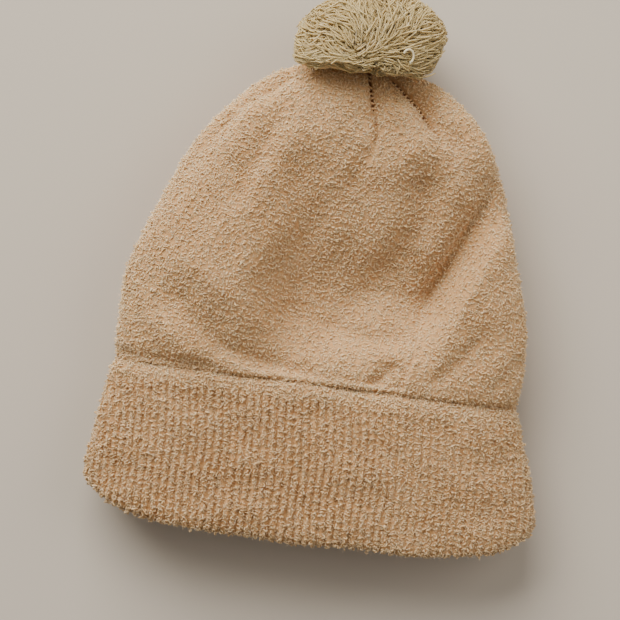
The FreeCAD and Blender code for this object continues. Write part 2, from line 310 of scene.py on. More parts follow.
BACK_CREASES = [
    ([(-90, 150), (-50, 170), (-20, 200)], 9, -2.0),
    ([(84, 130), (50, 160), (26, 196)], 9, -2.0),
]
BACK_SEAM_LINE = [(0, 240), (0, 180), (0, 100)]
RIM_SINK = 2.6              # how far the cloth sinks below the band's rim, on the wearer's right only


def crown_front_relief(x, reach):
    """How far the front of the crown stands out of its smooth shape."""
    h = hollow(x, reach)
    for centre, size, height in FRONT_MOUNDS:
        h += mound(x, reach, centre, size, height)
    above_rim = ease((reach - 84) / 2) * np.exp(-(np.maximum(reach - 86, 0) / 4) ** 2)
    h -= RIM_SINK * ease((-40 - x) / 25) * above_rim
    for path, width, drop, spread in FRONT_STEPS:
        h += step(x, reach, path, width, drop, spread)
    for path, width, height in FRONT_CREASES:
        h += crease(x, reach, path, width, height)
    for name, path in FRONT_DARTS.items():
        groove, valley, width = DART_DEPTHS[name]
        h += crease(x, reach, path, GROOVE_WIDTH, -groove, open_end=True)
        h += crease(x, reach, path, width, -valley, open_end=True)
    # the folds are faint where the band's rim holds the cloth
    return h * (0.4 + 0.6 * ease((reach - 84.5) / 4))


def crown_back_relief(x, reach):
    h = crease(x, reach, BACK_SEAM_LINE, 2.0, -1.0)
    for path in BACK_DARTS.values():
        for width, depth in (BACK_GROOVE, BACK_DIP):
            h += crease(x, reach, path, width, -depth, open_end=True)
    for path, width, height in BACK_CREASES:
        h += crease(x, reach, path, width, height)
    return h


def ripple(x, reach, seed, sizes, height):
    """Low seeded unevenness, of a few wavelengths."""
    rng = np.random.default_rng(seed)
    h = np.zeros(x.shape)
    for size in sizes:
        for _ in range(3):
            heading, phase = rng.uniform(0, 2 * np.pi, 2)
            h += np.sin((x * np.cos(heading) + reach * np.sin(heading)) * 2 * np.pi / size + phase)
    return h * height / (3 * len(sizes)) ** 0.5


def relieved(points, front, back):
    """The table pushed along its normals: front's relief where it faces up, back's where down."""
    n = normals_of(points)
    x, reach = points[..., 0], points[..., 1] + HALF_LENGTH
    up = np.clip(n[..., 2] * 1.6, 0, 1)
    down = np.clip(-n[..., 2] * 1.6, 0, 1)
    height = up * front(x, reach) + down * back(x, reach)
    return points + n * height[..., None]


def on_table(points, lowest=TABLE_CLEARANCE):
    points[..., 2] = np.maximum(points[..., 2], lowest)
    return points


def round_the_hat(place, columns):
    """How far round the hat a column is, as a share of the way round, from -0.5 to 0.5."""
    return np.where(place > columns / 2, place - columns, place) / columns


# ---------------------------------------------------------------- meshes
def make_piece(name, vertices, faces, material, body, replaces):
    """A mesh object from millimetre points and quads, in place of the CAD node it replaces."""
    mesh = bpy.data.meshes.new(name)
    vertices = np.asarray(vertices, np.float32).reshape(-1, 3) * MM
    faces = np.asarray(faces, np.int32)
    corners = faces.shape[1]
    mesh.vertices.add(len(vertices))
    mesh.vertices.foreach_set("co", vertices.ravel())
    mesh.loops.add(faces.size)
    mesh.loops.foreach_set("vertex_index", faces.ravel())
    mesh.polygons.add(len(faces))
    mesh.polygons.foreach_set("loop_start", np.arange(0, faces.size, corners, dtype=np.int32))
    mesh.polygons.foreach_set("use_smooth", np.ones(len(faces), bool))
    mesh.materials.append(material)
    mesh.update(calc_edges=True)
    mesh.validate()
    piece = bpy.data.objects.new(name, mesh)
    bpy.context.scene.collection.objects.link(piece)
    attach(piece, body)
    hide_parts(replaces)
    return piece


def table_faces(rows, columns):
    """Quads over a table of points that closes round its columns."""
    i = np.arange(rows - 1)[:, None] * columns
    j = np.arange(columns)[None, :]
    right = (j + 1) % columns
    quads = np.stack([i + j, i + right, i + columns + right, i + columns + j], -1)
    return quads.reshape(-1, 4)


def looked_up(table, rows, columns):
    """Bilinear lookup in a table that closes round its columns."""
    count = table.shape[1]
    rows = np.clip(rows, 0, table.shape[0] - 1.001)
    i = rows.astype(int)
    fi = (rows - i)[:, None]
    columns = np.mod(columns, count)
    j = columns.astype(int) % count
    fj = (columns - np.floor(columns))[:, None]
    nextj = (j + 1) % count
    low = table[i, j] * (1 - fj) + table[i, nextj] * fj
    high = table[i + 1, j] * (1 - fj) + table[i + 1, nextj] * fj
    return low * (1 - fi) + high * fi


def unit(v):
    return v / np.maximum(np.linalg.norm(v, axis=-1, keepdims=True), 1e-9)


def tubes(paths, radii, sides):
    """Vertices and quads of many tubes: paths (n, rings, 3), radii (n, rings)."""
    count, rings, _ = paths.shape
    ahead = unit(np.gradient(paths, axis=1))
    reference = unit(paths[:, -1] - paths[:, 0] + 1e-6)
    other = np.tile(np.array([[0.31, 0.17, 0.93]]), (count, 1))
    bend = unit(np.cross(reference, other))[:, None, :]
    first = unit(np.cross(ahead, np.cross(bend, ahead)) + 1e-9)
    second = np.cross(ahead, first)
    turn = 2 * np.pi * np.arange(sides) / sides
    ring = first[:, :, None, :] * np.cos(turn)[:, None] + second[:, :, None, :] * np.sin(turn)[:, None]
    vertices = paths[:, :, None, :] + ring * radii[:, :, None, None]
    index = np.arange(count * rings * sides).reshape(count, rings, sides)
    right = np.roll(index, -1, 2)
    quads = np.stack([index[:, :-1], right[:, :-1], right[:, 1:], index[:, 1:]], -1)
    return vertices.reshape(-1, 3), quads.reshape(-1, 4)


# ---------------------------------------------------------------- boucle
CURL_RINGS = 5
CURL_SIDES = 3
TALL_SHARE = 0.08           # the share of tufts that stand well above the rest


def curls(points, normals, rng, chord, height, radius):
    """One small looped tuft of pile at each point: its vertices and faces."""
    n = len(points)
    across = unit(np.cross(normals, np.array([[0.02, 1.0, 0.03]])))
    up_hat = np.cross(across, normals)
    angle = rng.uniform(-np.pi, np.pi, n)
    run = across * np.cos(angle)[:, None] + up_hat * np.sin(angle)[:, None]
    side = np.cross(normals, run)
    q = np.linspace(0, 1, CURL_RINGS)
    chord = chord * rng.uniform(0.65, 1.35, n)[:, None]
    height = height * (rng.uniform(0.55, 1.3, n) + 1.0 * (rng.uniform(0, 1, n) < TALL_SHARE))[:, None]
    sway = chord * rng.uniform(-0.55, 0.55, n)[:, None] * np.sin(np.pi * q)
    wave = chord * rng.uniform(-0.3, 0.3, n)[:, None] * np.sin(2 * np.pi * q)
    lean = rng.uniform(-0.4, 0.4, n)[:, None] * height * np.sin(np.pi * q)
    along = (q - 0.5) * chord + lean
    rise = height * np.sin(np.pi * q) ** 0.8 - 0.35
    paths = (points[:, None, :] + run[:, None, :] * along[..., None]
             + side[:, None, :] * (sway + wave)[..., None] + normals[:, None, :] * rise[..., None])
    thick = radius * rng.uniform(0.75, 1.25, n)[:, None] * (0.55 + 0.45 * np.sin(np.pi * q))
    return tubes(paths, thick, CURL_SIDES)


def hairs(points, normals, rng, length, radius):
    """A thin three-sided fibre at each point."""
    n = len(points)
    lean = unit(normals + rng.normal(0, 0.75, (n, 3)))
    bend = unit(lean + rng.normal(0, 0.6, (n, 3)))
    length = length * rng.uniform(0.5, 1.4, n)[:, None]
    middle = points + lean * length * 0.5
    tip = middle + bend * length * 0.5
    paths = np.stack([points - normals * 0.3, middle, tip], 1)
    radii = np.tile(np.array([[1.0, 0.8, 0.15]]) * radius, (n, 1))
    return tubes(paths, radii, 3)


def sites(points, girths, spacing, course, rng, jitter, first, last):
    """Rows and columns for tufts on a jittered knit grid: wales kept square to the mouth."""
    columns = points.shape[1]
    rows, places = [], []
    position = float(first)
    while position < last:
        i = int(position)
        girth = girths[i]
        half = int(girth / 2 / spacing)
        wale = np.arange(-half, half + 1) * spacing
        wale = wale[np.abs(wale) < girth / 2 - spacing * 0.3]
        wale = wale + rng.normal(0, jitter * spacing, len(wale))
        rows.append(position + rng.normal(0, jitter, len(wale)) * course)
        places.append(wale / girth * columns)
        position += course
    return np.concatenate(rows), np.concatenate(places)


# ---------------------------------------------------------------- materials
def linear(red, green, blue):
    """A colour given as 0 to 255 screen values."""
    values = [c / 255 for c in (red, green, blue)]
    return [c / 12.92 if c < 0.04045 else ((c + 0.055) / 1.055) ** 2.4 for c in values] + [1.0]


TUFT_SHARE = 0.55           # how much of a yarn's colour goes from tuft to tuft
GRAIN_SHARE = 0.5           # and how much goes with the fine grain
PATCH_SCALE = 18.0
PATCH_EDGES = (0.32, 0.68)


def fabric(name, dark, light, patch, roughness=0.95, sheen=0.1, grain=900.0, softness=0.6, depth=0.0016,
           bump=None):
    """Yarn whose colour varies from tuft to tuft, in soft patches, and in a fine grain."""
    material = bpy.data.materials.new(name)
    material.use_nodes = True
    nodes, links = material.node_tree.nodes, material.node_tree.links
    shader = nodes["Principled BSDF"]
    shader.inputs["Roughness"].default_value = roughness
    shader.inputs["Sheen Weight"].default_value = sheen
    shader.inputs["Sheen Roughness"].default_value = 0.5
    shader.inputs["Sheen Tint"].default_value = light
    shader.inputs["Specular IOR Level"].default_value = 0.08
    shader.inputs["Subsurface Weight"].default_value = softness
    shader.inputs["Subsurface Radius"].default_value = (1.0, 0.85, 0.7)
    shader.inputs["Subsurface Scale"].default_value = depth
    place = nodes.new("ShaderNodeTexCoord")
    islands = nodes.new("ShaderNodeNewGeometry")
    ramp = nodes.new("ShaderNodeValToRGB")
    ramp.color_ramp.elements[0].color = dark
    ramp.color_ramp.elements[1].color = light
    fine = nodes.new("ShaderNodeTexNoise")
    fine.inputs["Scale"].default_value = grain
    fine.inputs["Detail"].default_value = 2.0
    mix = nodes.new("ShaderNodeMath")
    mix.operation = "MULTIPLY_ADD"
    mix.inputs[1].default_value = TUFT_SHARE
    faded = nodes.new("ShaderNodeMath")
    faded.operation = "MULTIPLY"
    faded.inputs[1].default_value = GRAIN_SHARE
    links.new(place.outputs["Object"], fine.inputs["Vector"])
    links.new(fine.outputs["Fac"], faded.inputs[0])
    links.new(islands.outputs["Random Per Island"], mix.inputs[0])
    links.new(faded.outputs[0], mix.inputs[2])
    links.new(mix.outputs[0], ramp.inputs["Fac"])
    broad = nodes.new("ShaderNodeTexNoise")
    broad.inputs["Scale"].default_value = PATCH_SCALE
    broad.inputs["Detail"].default_value = 3.0
    links.new(place.outputs["Object"], broad.inputs["Vector"])
    tint = nodes.new("ShaderNodeMix")
    tint.data_type = "RGBA"
    tint.blend_type = "MULTIPLY"
    tint.inputs["Factor"].default_value = 1.0
    patches = nodes.new("ShaderNodeValToRGB")
    patches.color_ramp.elements[0].position = PATCH_EDGES[0]
    patches.color_ramp.elements[1].position = PATCH_EDGES[1]
    patches.color_ramp.elements[0].color = patch
    patches.color_ramp.elements[1].color = (1.0, 1.0, 1.0, 1.0)
    links.new(broad.outputs["Fac"], patches.inputs["Fac"])
    links.new(ramp.outputs["Color"], tint.inputs["A"])
    links.new(patches.outputs["Color"], tint.inputs["B"])
    links.new(tint.outputs["Result"], shader.inputs["Base Color"])
    if bump:
        scale, strength, distance = bump
        weave = nodes.new("ShaderNodeTexVoronoi")
        weave.inputs["Scale"].default_value = scale
        links.new(place.outputs["Object"], weave.inputs["Vector"])
        relief = nodes.new("ShaderNodeBump")
        relief.inputs["Strength"].default_value = strength
        relief.inputs["Distance"].default_value = distance
        links.new(weave.outputs["Distance"], relief.inputs["Height"])
        links.new(relief.outputs["Normal"], shader.inputs["Normal"])
    return material


def plain_floor():
    material = bpy.data.materials.new("pale_floor")
    material.use_nodes = True
    shader = material.node_tree.nodes["Principled BSDF"]
    shader.inputs["Base Color"].default_value = linear(196, 186, 172)
    shader.inputs["Roughness"].default_value = 0.95
    shader.inputs["Specular IOR Level"].default_value = 0.1
    return material


# The crown's yarn; on the band's rolled rim the same lighter yarn is also a painted highlight.
CROWN_BOUCLE_AND_RIM_HIGHLIGHT = fabric("crown_boucle", linear(213, 172, 124), linear(240, 204, 157), (0.93, 0.9, 0.87, 1))
CUFF_BOUCLE = fabric("cuff_boucle", linear(198, 159, 114), linear(230, 194, 149), (0.93, 0.9, 0.87, 1))
GROUND_CLOTH = fabric("ground_cloth", linear(186, 146, 101), linear(207, 167, 121), (0.9, 0.86, 0.82, 1),
                      bump=(480.0, 0.6, 0.001))
# Dark brown thread: the real seam and gather threads, and along the darts' runs a painted shade at the
# bottom of the groove.
SEAM_THREAD_AND_SHADE = fabric("seam_thread", linear(84, 52, 30), linear(120, 82, 52), (0.95, 0.95, 0.95, 1),
                     softness=0.0)
STITCH_THREAD = fabric("stitch_thread", linear(196, 156, 112), linear(220, 182, 138), (0.95, 0.95, 0.95, 1))
POM_YARN = fabric("pom_yarn", linear(168, 142, 92), linear(205, 180, 131), (0.9, 0.9, 0.86, 1),
                  roughness=0.85, softness=0.5, depth=0.003)
POM_HEART = fabric("pom_heart", linear(146, 122, 76), linear(166, 142, 94), (0.9, 0.9, 0.9, 1))
LOOSE_YARN = fabric("loose_yarn", linear(206, 190, 150), linear(232, 218, 182), (0.95, 0.95, 0.95, 1))
TIE_YARN = fabric("tie_yarn", linear(140, 118, 80), linear(180, 158, 112), (0.95, 0.95, 0.95, 1),
                  roughness=0.9)


# ---------------------------------------------------------------- crown
TUFTS_IN_A_PIECE = 7800
TUFT_SPACING = 1.15
DART_GAP = 0.9              # half the bare strip along a dart, at its top, and what it loses
DART_GAP_TAPER = 0.4
TUFT_JITTER = 0.3           # as a share of the spacing
NUB_LIFT = 0.38             # how far the knit's lumps move a tuft
BARE_NUB = -0.55            # some of the gaps lower than this are left without a tuft
BARE_SHARE = 0.6
TUFT_SINK = 0.25            # how far a tuft's feet stand in the ground cloth
CROWN_TUFTS = dict(chord=1.8, height=0.95, radius=0.37)
BAND_TUFTS = dict(chord=1.9, height=1.05, radius=0.39)
FIBRE_LENGTH = 2.0
FIBRE_RADIUS = 0.08
CROWN_FIBRES = 15000
BAND_FIBRES = 12000
EMERGING_REACH = 80         # the crown comes out of the band here; below it has no pile


def add_tufts(name, points, normals, rng, material, slot, replaces, **shape):
    """The pile on one part of the hat, as several pieces of a few thousand tufts each."""
    number = int(np.ceil(len(points) / TUFTS_IN_A_PIECE))
    pieces = []
    for i, chosen in enumerate(np.array_split(np.arange(len(points)), number)):
        vertices, faces = curls(points[chosen], normals[chosen], rng, **shape)
        piece = make_piece(f"{name}_{i + 1}", on_table(vertices), faces, material, "hat", replaces)
        pieces.append(piece)
    return pieces


def add_fibres(name, points, normals, rng, count, material, replaces):
    """A halo of fine loose fibres over the pile."""
    chosen = rng.permutation(len(points))[:count]
    start = points[chosen] + rng.normal(0, 0.6, (count, 3)) + normals[chosen] * 0.6
    vertices, faces = hairs(start, normals[chosen], rng, FIBRE_LENGTH, FIBRE_RADIUS)
    return [make_piece(name, on_table(vertices), faces, material, "hat", replaces)]


def nub_height(around, reach, pitch, course):
    """The lumpiness of knitted boucle, from -1 in the gaps to 1 on the lumps."""
    shift = ripple(around, reach, 31, (13, 7), 1.1)
    drift = ripple(around, reach, 32, (15, 8), 1.1)
    lumps = np.cos(2 * np.pi * (around + shift) / pitch) * np.cos(2 * np.pi * (reach + drift) / course)
    return 0.6 * lumps + ripple(around, reach, 33, (5.1, 3.4), 0.55)


def closed_mesh(outer, inner):
    """Vertices and faces of a skin between two tables with the same columns."""
    loop = np.concatenate([outer, inner[::-1]])
    faces = table_faces(len(loop) + 1, loop.shape[1])
    return loop, np.mod(faces, loop.shape[0] * loop.shape[1])


def slack(x, reach):
    """The slight unevenness of soft cloth, on the crown above the band."""
    return ripple(x, reach, 5, (64, 38, 22), 0.5) * ease((reach - 90) / 20)


def make_crown():
    rows = even_rows(smooth_rows(CROWN_STATIONS, CROWN_SPAN_STEPS), ROW_SPACING)
    points, girths = oval_points(rows, CROWN_COLUMNS)
    points = points - normals_of(points) * PILE_HEIGHT
    points = relieved(points, crown_front_relief, crown_back_relief)
    points = on_table(relieved(points, slack, slack), GROUND_CLEARANCE)
    normals = normals_of(points)
    inner = points - normals * (CROWN_WALL - PILE_HEIGHT)
    emerges = int(np.argmin(np.abs(points[:, 0, 1] + HALF_LENGTH - EMERGING_REACH)))
    kept = np.concatenate([np.arange(0, emerges, 3), np.arange(emerges, len(points))])
    vertices, faces = closed_mesh(points[kept, ::2], inner[::3, ::2])
    ground = make_piece("crown_ground_cloth", on_table(vertices), faces, GROUND_CLOTH, "hat",
                        "crown_knit")

    rng = np.random.default_rng(SEED)
    row, place = sites(points, girths, TUFT_SPACING, TUFT_SPACING / ROW_SPACING, rng, TUFT_JITTER,
                       emerges, len(points) - 2)
    at, out = looked_up(points, row, place), unit(looked_up(normals, row, place))
    girth = girths[row.astype(int)]
    around = round_the_hat(place, CROWN_COLUMNS) * girth
    nub = nub_height(around, at[:, 1], WALE_PITCH, COURSE_PITCH)
    clear = np.ones(len(at), bool)
    for darts, facing in ((FRONT_DARTS, out[:, 2] > 0), (BACK_DARTS, out[:, 2] < 0)):
        for name, path in darts.items():
            off_line, share = distance_to(path, at[:, 0], at[:, 1] + HALF_LENGTH)
            shown = STITCHES_SHOWN.get(name, BACK_STITCHES_SHOWN)
            gap = DART_GAP - DART_GAP_TAPER * share
            clear &= ~(facing & (np.abs(off_line) < gap) & (share < shown))
    kept = clear & ~((nub < BARE_NUB) & (rng.uniform(0, 1, len(at)) < BARE_SHARE))
    at, out, nub = at[kept], out[kept], nub[kept]
    at = at + out * (NUB_LIFT * nub - TUFT_SINK)[:, None]
    pile = add_tufts("crown_boucle", at, out, rng, CROWN_BOUCLE_AND_RIM_HIGHLIGHT, "crown_knit", "crown_knit", **CROWN_TUFTS)
    pile += add_fibres("crown_fibres", at, out, rng, CROWN_FIBRES, CROWN_BOUCLE_AND_RIM_HIGHLIGHT, "crown_knit")
    return points, normals


# ---------------------------------------------------------------- turned-up band
BAND_TOP_REACH = 75.0       # the ribs end here, below the rolled rim
RIB_HEIGHT = 0.85
BAND_COURSE_PITCH = 2.6
BAND_NUB_LIFT = 0.40
BAND_BARE_NUB = -0.6
RIB_LIFT = 0.15
HOLE_PITCH = 2.7            # the dark holes between ribs, up the hat
HOLE_RIB = -0.35            # they are where the rib wave is lower than this
PILE_SHARE = 0.88           # the last of the band's rows lie inside its lip and have no pile


def rib_wave(around, reach, x):
    """1 on the crest of a rib, -1 in a furrow, 0 on the rolled rim; fainter on the wearer's left."""
    sway = ripple(around, reach, 41, (60, 34), 0.5)
    ribbed = ease((BAND_TOP_REACH + 3 - reach) / 5) * ease((reach + 1) / 6)
    faint = 1 - 0.5 * ease((x - 5) / 60)
    return ribbed * faint * np.cos(2 * np.pi * (around + sway) / RIB_PITCH)


def make_cuff():
    rows = even_rows(smooth_rows(CUFF_STATIONS, BAND_SPAN_STEPS), BAND_ROW_SPACING)
    points, girths = oval_points(rows, BAND_COLUMNS)
    points = points - normals_of(points) * PILE_HEIGHT
    normals = normals_of(points)
    reach = points[..., 1] + HALF_LENGTH
    around = round_the_hat(np.arange(BAND_COLUMNS), BAND_COLUMNS)[None, :] * girths[:, None]
    height = RIB_HEIGHT * rib_wave(around, reach, points[..., 0])
    height = height + ripple(points[..., 0], reach, 8, (90, 46, 24), 0.6)
    points = on_table(points + normals * height[..., None], GROUND_CLEARANCE)
    normals = normals_of(points)
    coarse = points[::2, ::2]
    faces = np.mod(table_faces(len(coarse) + 1, coarse.shape[1]), coarse.shape[0] * coarse.shape[1])
    ground = make_piece("cuff_ground_cloth", coarse, faces, GROUND_CLOTH, "hat", "cuff_band")

    rng = np.random.default_rng(SEED + 1)
    row, place = sites(points, girths, TUFT_SPACING, TUFT_SPACING / BAND_ROW_SPACING, rng, TUFT_JITTER,
                       0, int(len(rows) * PILE_SHARE))
    at, out = looked_up(points, row, place), unit(looked_up(normals, row, place))
    girth = girths[row.astype(int)]
    around = round_the_hat(place, BAND_COLUMNS) * girth
    reach = at[:, 1] + HALF_LENGTH
    rib = rib_wave(around, reach, at[:, 0])
    nub = nub_height(around, reach, RIB_PITCH / 2, BAND_COURSE_PITCH)
    hole = np.cos(2 * np.pi * (reach / HOLE_PITCH + np.floor(around / RIB_PITCH) * 0.5)) > 0.0
    rolled = ease((reach - BAND_TOP_REACH) / 3)
    thinned = rng.uniform(0, 1, len(at)) < BARE_SHARE * (1 - rolled)
    bare = (rib < HOLE_RIB) & hole | (nub < BAND_BARE_NUB) & thinned
    at, out, nub, rib = at[~bare], out[~bare], nub[~bare], rib[~bare]
    at = at + out * (BAND_NUB_LIFT * nub + RIB_LIFT * rib - TUFT_SINK)[:, None]
    # The rolled rim's tufts take the crown's lighter yarn: a painted highlight where the light falls on the
    # rim.
    painted_highlight_rim = at[:, 1] + HALF_LENGTH > BAND_TOP_REACH + 1.5 * nub
    pile = add_tufts("cuff_boucle", at[~painted_highlight_rim], out[~painted_highlight_rim], rng, CUFF_BOUCLE, "cuff_rib", "cuff_band",
                     **BAND_TUFTS)
    pile += add_tufts("rim_boucle_painted_highlight", at[painted_highlight_rim], out[painted_highlight_rim], rng, CROWN_BOUCLE_AND_RIM_HIGHLIGHT, "cuff_rib", "cuff_band",
                      **BAND_TUFTS)
    pile += add_fibres("cuff_fibres", at, out, rng, BAND_FIBRES, CUFF_BOUCLE, "cuff_band")
    return points, normals


# ---------------------------------------------------------------- seams
STITCH_PITCH = 2.6          # the gaps between the dart stitches show the dark run below as dots of painted shade this far apart
STITCH_LIFT = 1.3
STITCH_HALF = 1.1
STITCH_RADIUS = 0.56
STITCH_ARCH = ((-1.0, 0.2), (-0.6, 0.8), (0.0, 1.0), (0.6, 0.8), (1.0, 0.2))    # across, rise
RUN_LIFT = 0.45
RUN_RADIUS = 0.75
HIDDEN_DEPTH = 1.6          # how far a dart's thread sinks where the pile covers it
SEAM_SIDES = 6
BACK_SEAM_ROWS = slice(8, -30, 3)
BACK_SEAM_DEPTH = CROWN_WALL - PILE_HEIGHT + 0.1    # on the inside of the crown
CUFF_SEAM_ROWS = slice(1, 13, 2)
CUFF_SEAM_LIFT = 0.5
ZIGZAG_HALF = 1.7
OVERLOCK_RADIUS = 0.45
LINKING_LOOPS = 210
LINKING_RADIUS = 0.45
# One loop of the chain stitch: along the edge, out of the cloth, up the hat.
LINKING_LOOP = ((-1.3, 0.1, -1.0), (-0.4, 0.8, -0.2), (0.5, 0.8, 0.6), (1.4, 0.1, 1.4))


def thread_piece(name, paths, radius, material, body, replaces):
    """Round threads along the given paths, each thinned at its ends."""
    paths = np.asarray(paths, float)
    ends = np.ones(paths.shape[1])
    ends[[0, -1]] = 0.45
    vertices, faces = tubes(paths, np.tile(ends * radius, (len(paths), 1)), SEAM_SIDES)
    make_piece(name, on_table(vertices), faces, material, body, replaces)


def along_surface(points, normals, path, spacing, back):
    """Places, normals and headings on the crown along a line drawn on its front or its back."""
    path = np.array(path, float)
    walked = np.concatenate([[0], np.cumsum(np.hypot(*np.diff(path, axis=0).T))])
    steps = np.arange(spacing / 2, walked[-1], spacing)
    x, reach = (np.interp(steps, walked, path[:, k]) for k in (0, 1))
    middle = points.shape[1] // 2 if back else 0
    columns = middle + np.arange(-points.shape[1] // 4, points.shape[1] // 4 + 1)
    highest = int(np.argmax(points[:, middle, 1]))
    rows = np.interp(reach - HALF_LENGTH, points[:highest, middle, 1], np.arange(highest))
    at = []
    for row, across in zip(rows, x):
        places = points[int(row), np.mod(columns, points.shape[1]), 0]
        order = np.argsort(places)
        at.append(np.interp(across, places[order], columns[order]))
    where = looked_up(points, rows, np.array(at))
    return where, unit(looked_up(normals, rows, np.array(at))), unit(np.gradient(where, axis=0))


def covered(count, shown):
    """0 where a dart's thread shows and 1 where the pile covers it, at places along the dart."""
    return ease((np.linspace(0, 1, count) - shown + 0.08) / 0.1)[:, None]


def make_dart(name, path, points, normals, back, shown):
    """A sewn dart: a dark thread run at the bottom of the fold, its dark colour a painted shade in the
    groove, and stitches that cross over it.
    """
    where, up, ahead = along_surface(points, normals, path, STITCH_PITCH / 4, back)
    # The run's dark brown is painted shade, standing for the shadow deep in the dart's groove.
    rise = RUN_LIFT - HIDDEN_DEPTH * covered(len(where), shown)
    thread_piece(f"{name}_run", [where + up * rise], RUN_RADIUS, SEAM_THREAD_AND_SHADE, "hat", name)
    where, up, ahead = along_surface(points, normals, path, STITCH_PITCH, back)
    sunk = covered(len(where), shown)
    across = np.cross(up, ahead)
    bars = []
    rng = np.random.default_rng(SEED + 3)
    where = where + ahead * rng.normal(0, 0.3, (len(where), 1))
    tilt = rng.normal(0.35, 0.3, (len(where), 1))
    for side, height in STITCH_ARCH:
        rise = height * STITCH_LIFT - HIDDEN_DEPTH * sunk
        bars.append(where + across * side * STITCH_HALF + up * rise + ahead * tilt * side)
    thread_piece(f"{name}_stitches", np.stack(bars, 1), STITCH_RADIUS, STITCH_THREAD, "hat",
                 name)


def zigzag(line, across, width):
    """A line of points thrown to either side in turn."""
    side = np.where(np.arange(len(line)) % 2, 1.0, -1.0)[:, None]
    return line + across * side * width


def make_seams(crown, crown_normals, cuff, cuff_normals):
    for name, path in FRONT_DARTS.items():
        make_dart(f"dart_thread_{name}", path, crown, crown_normals, False, STITCHES_SHOWN[name])
    for name, path in BACK_DARTS.items():
        make_dart(f"dart_thread_{name}", path, crown, crown_normals, True, BACK_STITCHES_SHOWN)
    sideways = np.array([1.0, 0, 0])
    back = crown.shape[1] // 2
    inside = crown[BACK_SEAM_ROWS, back] - crown_normals[BACK_SEAM_ROWS, back] * BACK_SEAM_DEPTH
    thread_piece("back_seam_zigzag", [zigzag(inside, sideways, ZIGZAG_HALF)], OVERLOCK_RADIUS,
                 SEAM_THREAD_AND_SHADE, "hat", "back_seam_thread")
    back = cuff.shape[1] // 2
    inside = cuff[CUFF_SEAM_ROWS, back] + cuff_normals[CUFF_SEAM_ROWS, back] * CUFF_SEAM_LIFT
    thread_piece("cuff_seam_zigzag", [zigzag(inside, sideways, ZIGZAG_HALF)], OVERLOCK_RADIUS,
                 SEAM_THREAD_AND_SHADE, "hat", "cuff_seam_thread")
    places = np.linspace(0, cuff.shape[1], LINKING_LOOPS, endpoint=False)
    edge = looked_up(cuff, np.full(LINKING_LOOPS, 0.5), places)
    out = unit(looked_up(cuff_normals, np.full(LINKING_LOOPS, 0.5), places))
    on = unit(np.roll(edge, -1, 0) - np.roll(edge, 1, 0))
    loops = np.stack([edge + on * a + out * b + np.array([0, c, 0]) for a, b, c in LINKING_LOOP], 1)
    thread_piece("brim_linking_stitches", loops, LINKING_RADIUS, STITCH_THREAD, "hat",
                 "brim_linking_thread")


# ---------------------------------------------------------------- the tie
TIE_PLACE = np.array([0.0, 107.9, 38.8])    # the outer knot, at the crown's eyelet
TIE_RADIUS = 1.05
GATHER_PLACE = 102.1
GATHER_RADIUS = 8.0
GATHER_STITCHES = 12


def knot_path(centre, size, count=60):
    """A trefoil knot that just fills a ball."""
    t = np.linspace(0, 2 * np.pi, count)
    knot = np.stack([np.sin(t) + 2 * np.sin(2 * t), np.cos(t) - 2 * np.cos(2 * t), -np.sin(3 * t)], 1)
    return np.array(centre) + knot * size / 3.0


def coil(start, end, radius, turns, phase, count=40):
    """A helix along Y."""
    q = np.linspace(0, 1, count)
    turn = 2 * np.pi * turns * q + phase
    line = np.array(start) + np.outer(q, np.array(end) - np.array(start))
    return line + np.stack([np.cos(turn) * radius, np.zeros(count), np.sin(turn) * radius], 1)


def on_tie(y):
    """The point of the tie's own line at the given Y."""
    return np.array([TIE_PLACE[0], y, TIE_PLACE[2]])


def two_strands(start, end, turns):
    return [coil(on_tie(start), on_tie(end), 1.0, turns, phase) for phase in (0, np.pi)]


def make_tie():
    binding = coil(on_tie(124), on_tie(128), radius=4.2, turns=4, phase=0, count=120)
    # Each piece: its paths, the yarn's radius, its body and its node.
    tie = {
        "tie_outer_knot_yarn": ([knot_path(TIE_PLACE, 1.9)], 0.85, "tie_knot", "tie_outer_knot"),
        "tie_inner_knot_yarn": ([knot_path(on_tie(94), 3.3)], 1.25, "hat", "tie_inner_knot"),
        "tie_inner_tails_yarn": (two_strands(98, 104.7, 0.6), TIE_RADIUS, "hat", "tie_inner_tails"),
        "tie_outer_tails_yarn": (two_strands(110.3, 122.6, 1.2), TIE_RADIUS, "tie_yarn", "tie_outer_tails"),
        "pom_binding_yarn": ([binding], 0.9, "pom_pom", "pom_binding"),
    }
    for name, (paths, radius, body, node) in tie.items():
        thread_piece(name, paths, radius, TIE_YARN, body, node)
    turn = np.linspace(0, 2 * np.pi, 6 * GATHER_STITCHES + 1)
    ring = GATHER_RADIUS + 0.45 * np.sin(GATHER_STITCHES * turn)
    gather = np.stack([np.cos(turn) * ring, np.full(len(turn), GATHER_PLACE),
                       TIE_PLACE[2] + np.sin(turn) * ring], 1)
    thread_piece("crown_gather_stitching", [gather], 0.8, SEAM_THREAD_AND_SHADE, "hat",
                 "crown_gather_thread")


